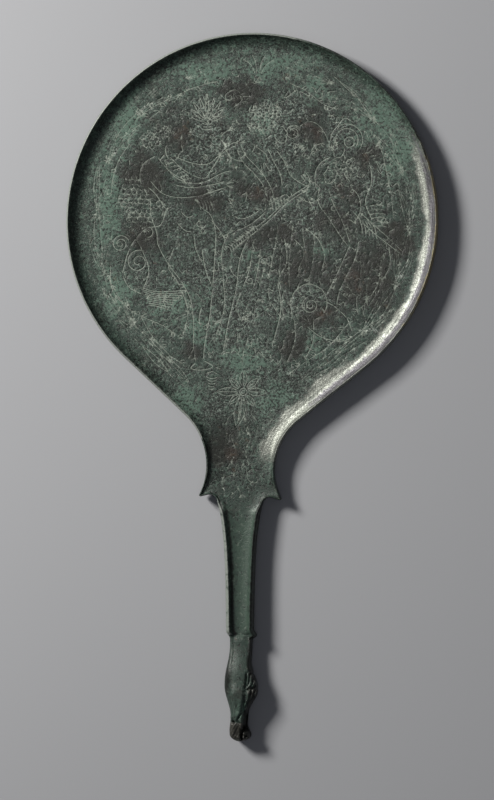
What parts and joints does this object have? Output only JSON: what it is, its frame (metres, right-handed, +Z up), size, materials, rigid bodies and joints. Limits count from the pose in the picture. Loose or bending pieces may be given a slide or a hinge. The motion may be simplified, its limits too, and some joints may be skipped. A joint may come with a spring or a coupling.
{
  "type": "etruscan hand mirror",
  "caption": "Cast bronze hand mirror: dished round disc with a raised rim and engraved field, spurred neck and channelled handle ending in an animal's head.",
  "frame": {"origin": "middle of the small flat under the domed face of the disc, on the surface that the mirror lies on", "axes": "+Z up out of the dished, engraved side as the mirror lies; +Y from the handle to the top of the disc; +X to the right seen from above"},
  "size_m": [0.1534, 0.2902, 0.0107],
  "materials": {
    "bronze_patina": "old cast bronze under a mottled green and dark brown patina, worn to bare grey-tan metal along the lower right of the rim"
  },
  "bodies": {
    "root": {"hand_mirror": "bronze_patina"}
  },
  "joints": []
}
